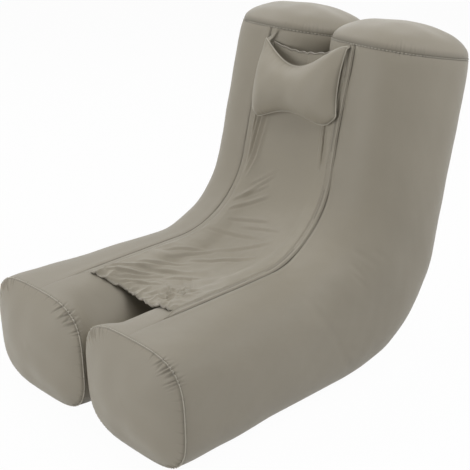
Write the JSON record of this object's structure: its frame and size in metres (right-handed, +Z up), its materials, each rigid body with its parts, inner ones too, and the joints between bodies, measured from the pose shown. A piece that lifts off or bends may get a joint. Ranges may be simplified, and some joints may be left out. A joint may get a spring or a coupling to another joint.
{
  "type": "inflatable lounge sofa",
  "caption": "Inflatable lounge sofa: L-shaped air tubes in sewn covers carry a sling seat and a head pillow, with air valves and zips on the back.",
  "frame": {"origin": "on the floor, under the middle of the sofa's box", "axes": "+Z up, the sitter faces -Y, +X towards the sitter's left"},
  "size_m": [0.7496, 1.1153, 0.8952],
  "materials": {
    "cover": "coated plain-weave nylon, grey taupe, soft sheen",
    "sling": "plain-weave nylon, grey taupe, matt",
    "trim": "folded nylon tape, a shade lighter than the cover",
    "elastic": "elastic cord in a cloth hem, matt",
    "film": "welded thermoplastic film, satin",
    "valve_plastic": "moulded, satin",
    "flap_rubber": "soft black rubber",
    "zip_teeth": "coil teeth, satin",
    "zip_metal": "die-cast, satin",
    "wadding": "soft fibre filling"
  },
  "bodies": {
    "sofa": {"left_outer_panel": "cover", "left_inner_panel": "cover", "left_foot_panel": "cover", "left_top_panel": "cover", "left_foot_piping": "trim", "left_top_piping": "trim", "left_seam_piping": "trim", "left_sling_binding": "trim", "left_air_bladder": "film", "left_valve_base": "valve_plastic", "left_zip_tape": "trim", "left_zip_chain": "zip_teeth", "right_outer_panel": "cover", "right_inner_panel": "cover", "right_foot_panel": "cover", "right_top_panel": "cover", "right_foot_piping": "trim", "right_top_piping": "trim", "right_seam_piping": "trim", "right_sling_binding": "trim", "right_air_bladder": "film", "right_valve_base": "valve_plastic", "right_zip_tape": "trim", "right_zip_chain": "zip_teeth", "seat_sling": "sling", "front_hem_elastic": "elastic", "top_hem_elastic": "elastic", "centre_join_strip": "trim", "pillow_tab_left": "trim", "pillow_tab_right": "trim"},
    "pillow": {"pillow_front_cover": "sling", "pillow_back_cover": "sling", "pillow_welt": "trim", "pillow_filling": "wadding"},
    "left_valve_insert": {"left_valve_insert": "valve_plastic"},
    "left_valve_cap": {"left_valve_cap": "valve_plastic"},
    "left_valve_flap": {"left_valve_flap": "flap_rubber"},
    "left_zip_slider": {"left_zip_slider": "zip_metal"},
    "left_zip_pull": {"left_zip_pull": "zip_metal"},
    "right_valve_insert": {"right_valve_insert": "valve_plastic"},
    "right_valve_cap": {"right_valve_cap": "valve_plastic"},
    "right_valve_flap": {"right_valve_flap": "flap_rubber"},
    "right_zip_slider": {"right_zip_slider": "zip_metal"},
    "right_zip_pull": {"right_zip_pull": "zip_metal"}
  },
  "joints": [
    {"name": "pillow_flip", "type": "hinge", "parent": "sofa", "child": "pillow", "pos_m": [0, 0.19826, 0.83521], "axis": [-1, 0, 0], "range_deg": [0, 140]},
    {"name": "left_valve_insert_hinge", "type": "hinge", "parent": "sofa", "child": "left_valve_insert", "pos_m": [0.16925, 0.53138, 0.65637], "axis": [1, 0, 0], "range_deg": [0, 90]},
    {"name": "left_valve_cap_hinge", "type": "hinge", "parent": "left_valve_insert", "child": "left_valve_cap", "pos_m": [0.16925, 0.53254, 0.65154], "axis": [1, 0, 0], "range_deg": [0, 90]},
    {"name": "left_valve_flap_bend", "type": "hinge", "parent": "left_valve_insert", "child": "left_valve_flap", "pos_m": [0.16925, 0.5232, 0.64636], "axis": [-1, 0, 0], "range_deg": [0, 30], "stiffness_Nm_per_rad": 0.002},
    {"name": "left_zip_slide", "type": "slide", "parent": "sofa", "child": "left_zip_slider", "axis": [0, 0.2436, 0.9699], "range_m": [0, 0.27]},
    {"name": "left_zip_pull_hinge", "type": "hinge", "parent": "left_zip_slider", "child": "left_zip_pull", "pos_m": [0.16925, 0.44274, 0.28869], "axis": [1, 0, 0], "range_deg": [-10, 150]},
    {"name": "right_valve_insert_hinge", "type": "hinge", "parent": "sofa", "child": "right_valve_insert", "pos_m": [-0.16925, 0.53138, 0.65637], "axis": [1, 0, 0], "range_deg": [0, 90]},
    {"name": "right_valve_cap_hinge", "type": "hinge", "parent": "right_valve_insert", "child": "right_valve_cap", "pos_m": [-0.16925, 0.53254, 0.65154], "axis": [1, 0, 0], "range_deg": [0, 90]},
    {"name": "right_valve_flap_bend", "type": "hinge", "parent": "right_valve_insert", "child": "right_valve_flap", "pos_m": [-0.16925, 0.5232, 0.64636], "axis": [-1, 0, 0], "range_deg": [0, 30], "stiffness_Nm_per_rad": 0.002},
    {"name": "right_zip_slide", "type": "slide", "parent": "sofa", "child": "right_zip_slider", "axis": [0, 0.2436, 0.9699], "range_m": [0, 0.27]},
    {"name": "right_zip_pull_hinge", "type": "hinge", "parent": "right_zip_slider", "child": "right_zip_pull", "pos_m": [-0.16925, 0.44274, 0.28869], "axis": [1, 0, 0], "range_deg": [-10, 150]}
  ]
}
